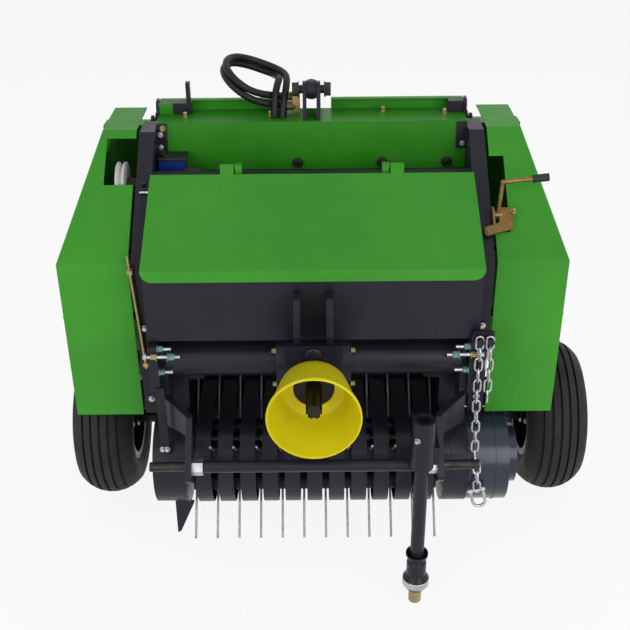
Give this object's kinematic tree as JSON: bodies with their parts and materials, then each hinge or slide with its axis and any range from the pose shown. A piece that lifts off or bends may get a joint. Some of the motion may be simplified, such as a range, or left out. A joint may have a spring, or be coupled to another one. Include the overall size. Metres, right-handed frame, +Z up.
{
  "type": "hay baler",
  "caption": "Small three-point mounted round hay baler with tined pick-up, ribbed bale rollers, hinged tailgate, twine box and parking stand.",
  "frame": {"origin": "on the floor, under the middle of the overall width and length without the free hoses", "axes": "+X to the machine's left as it travels, which is the picture's right; +Y to the rear; +Z up"},
  "size_m": [1.3272, 1.064, 1.1386],
  "materials": {
    "blue_grey_paint": "glossy blue-grey enamel",
    "blue_paint": "blue enamel",
    "bright_steel": "bright zinc and ground steel",
    "charcoal_paint": "satin charcoal enamel",
    "green_paint": "satin enamel on sheet steel",
    "grey_plastic": "light grey moulded plastic",
    "hose_rubber": "ribbed hydraulic hose cover",
    "rim_paint": "dark grey wheel enamel",
    "tyre": "matte ribbed rubber",
    "yellow_plastic": "moulded yellow plastic",
    "zinc_yellow": "yellow passivated zinc"
  },
  "bodies": {
    "frame": {"axle_left": "charcoal_paint", "axle_right": "charcoal_paint", "control_lever": "zinc_yellow", "control_rod": "zinc_yellow", "crop_guides": "charcoal_paint", "cylinder_bracket": "charcoal_paint", "drive_tubes": "charcoal_paint", "gearbox": "charcoal_paint", "hitch_arm_left": "charcoal_paint", "hitch_arm_right": "charcoal_paint", "hitch_bar": "charcoal_paint", "hose_lower": "hose_rubber", "hose_upper": "hose_rubber", "pickup_drum_left": "charcoal_paint", "pickup_drum_right": "blue_grey_paint", "pickup_end_left": "charcoal_paint", "pickup_end_right": "charcoal_paint", "port_block": "zinc_yellow", "pto_shield": "yellow_plastic", "safety_chain": "bright_steel", "side_cover_left": "green_paint", "side_cover_right": "green_paint", "side_plate_left": "charcoal_paint", "side_plate_right": "charcoal_paint", "stand_sleeve": "charcoal_paint", "stripper_bands": "charcoal_paint", "tension_box": "blue_paint", "top_link_mast": "charcoal_paint", "tube_flanges": "charcoal_paint", "twine_box": "charcoal_paint", "twine_pulley": "grey_plastic", "upper_panel": "green_paint"},
    "wheel_left": {"tyre_left": "tyre", "rim_left": "rim_paint"},
    "wheel_right": {"tyre_right": "tyre", "rim_right": "rim_paint"},
    "tailgate": {"gate_cover_left": "green_paint", "gate_cover_right": "green_paint", "gate_side_left": "charcoal_paint", "gate_side_right": "charcoal_paint", "gate_ties": "charcoal_paint", "gate_top": "green_paint"},
    "cylinder_barrel": {"cylinder_barrel": "charcoal_paint"},
    "cylinder_rod": {"cylinder_rod": "bright_steel"},
    "twine_box_lid": {"twine_box_lid": "green_paint"},
    "parking_stand": {"stand_foot": "charcoal_paint", "stand_leg": "charcoal_paint", "stand_pin": "bright_steel"},
    "pickup_reel": {"pickup_reel": "charcoal_paint"},
    "pto_shaft": {"pto_shaft": "charcoal_paint"},
    "roller_top": {"roller_top": "charcoal_paint"},
    "roller_upper": {"roller_upper": "charcoal_paint"},
    "roller_front": {"roller_front": "charcoal_paint"},
    "roller_feed": {"roller_feed": "charcoal_paint"},
    "roller_floor": {"roller_floor": "charcoal_paint"},
    "gate_roller_1": {"gate_roller_1": "charcoal_paint"},
    "gate_roller_2": {"gate_roller_2": "charcoal_paint"},
    "gate_roller_3": {"gate_roller_3": "charcoal_paint"},
    "gate_roller_4": {"gate_roller_4": "charcoal_paint"},
    "gate_roller_5": {"gate_roller_5": "charcoal_paint"}
  },
  "joints": [
    {"name": "wheel_left_spin", "type": "hinge", "parent": "frame", "child": "wheel_left", "pos_m": [-0.5855, 0.007, 0.203], "axis": [1, 0, 0], "continuous": true},
    {"name": "wheel_right_spin", "type": "hinge", "parent": "frame", "child": "wheel_right", "pos_m": [0.5855, 0.007, 0.203], "axis": [1, 0, 0], "continuous": true},
    {"name": "tailgate_hinge", "type": "hinge", "parent": "frame", "child": "tailgate", "pos_m": [-0.0405, 0.164, 0.975], "axis": [1, 0, 0], "range_deg": [0, 55]},
    {"name": "cylinder_swing", "type": "hinge", "parent": "frame", "child": "cylinder_barrel", "pos_m": [-0.0405, 0.089, 1.08], "axis": [1, 0, 0], "range_deg": [-0.5, 41.93]},
    {"name": "cylinder_stroke", "type": "slide", "parent": "cylinder_barrel", "child": "cylinder_rod", "axis": [0, 0.9586, -0.2846], "range_m": [-0.1004, 0.001]},
    {"name": "lid_hinge", "type": "hinge", "parent": "frame", "child": "twine_box_lid", "pos_m": [-0.0405, -0.062, 0.942], "axis": [-1, 0, 0], "range_deg": [0, 130]},
    {"name": "stand_slide", "type": "slide", "parent": "frame", "child": "parking_stand", "axis": [0, 0, 1], "range_m": [0, 0.19]},
    {"name": "roller_top_spin", "type": "hinge", "parent": "frame", "child": "roller_top", "pos_m": [-0.0405, 0.12353, 0.88982], "axis": [1, 0, 0], "continuous": true},
    {"name": "roller_upper_spin", "type": "hinge", "parent": "frame", "child": "roller_upper", "pos_m": [-0.0405, -0.05884, 0.81981], "axis": [1, 0, 0], "continuous": true},
    {"name": "roller_front_spin", "type": "hinge", "parent": "frame", "child": "roller_front", "pos_m": [-0.0405, -0.14791, 0.69261], "axis": [1, 0, 0], "continuous": true},
    {"name": "roller_feed_spin", "type": "hinge", "parent": "frame", "child": "roller_feed", "pos_m": [-0.0405, -0.16308, 0.54825], "axis": [1, 0, 0], "continuous": true},
    {"name": "roller_floor_spin", "type": "hinge", "parent": "frame", "child": "roller_floor", "pos_m": [-0.0405, 0.10785, 0.29114], "axis": [1, 0, 0], "continuous": true},
    {"name": "gate_roller_1_spin", "type": "hinge", "parent": "tailgate", "child": "gate_roller_1", "pos_m": [-0.0405, 0.284, 0.84981], "axis": [1, 0, 0], "continuous": true},
    {"name": "gate_roller_2_spin", "type": "hinge", "parent": "tailgate", "child": "gate_roller_2", "pos_m": [-0.0405, 0.39381, 0.74], "axis": [1, 0, 0], "continuous": true},
    {"name": "gate_roller_3_spin", "type": "hinge", "parent": "tailgate", "child": "gate_roller_3", "pos_m": [-0.0405, 0.434, 0.59], "axis": [1, 0, 0], "continuous": true},
    {"name": "gate_roller_4_spin", "type": "hinge", "parent": "tailgate", "child": "gate_roller_4", "pos_m": [-0.0405, 0.39381, 0.44], "axis": [1, 0, 0], "continuous": true},
    {"name": "gate_roller_5_spin", "type": "hinge", "parent": "tailgate", "child": "gate_roller_5", "pos_m": [-0.0405, 0.284, 0.33019], "axis": [1, 0, 0], "continuous": true},
    {"name": "reel_spin", "type": "hinge", "parent": "frame", "child": "pickup_reel", "pos_m": [-0.0405, -0.246, 0.261], "axis": [1, 0, 0], "continuous": true},
    {"name": "pto_spin", "type": "hinge", "parent": "frame", "child": "pto_shaft", "pos_m": [-0.0405, -0.506, 0.562], "axis": [0, -1, 0], "continuous": true}
  ],
  "couplings": [
    {"joint": "cylinder_swing", "follows": "tailgate_hinge", "ratio": 0.75329},
    {"joint": "cylinder_stroke", "follows": "tailgate_hinge", "m_per_rad": -0.10353},
    {"joint": "roller_top_spin", "follows": "roller_feed_spin", "ratio": 1},
    {"joint": "roller_upper_spin", "follows": "roller_feed_spin", "ratio": 1},
    {"joint": "roller_front_spin", "follows": "roller_feed_spin", "ratio": 1},
    {"joint": "roller_floor_spin", "follows": "roller_feed_spin", "ratio": 1},
    {"joint": "gate_roller_1_spin", "follows": "roller_feed_spin", "ratio": 1},
    {"joint": "gate_roller_2_spin", "follows": "roller_feed_spin", "ratio": 1},
    {"joint": "gate_roller_3_spin", "follows": "roller_feed_spin", "ratio": 1},
    {"joint": "gate_roller_4_spin", "follows": "roller_feed_spin", "ratio": 1},
    {"joint": "gate_roller_5_spin", "follows": "roller_feed_spin", "ratio": 1},
    {"joint": "reel_spin", "follows": "roller_feed_spin", "ratio": 0.8},
    {"joint": "pto_spin", "follows": "roller_feed_spin", "ratio": 2.5}
  ]
}
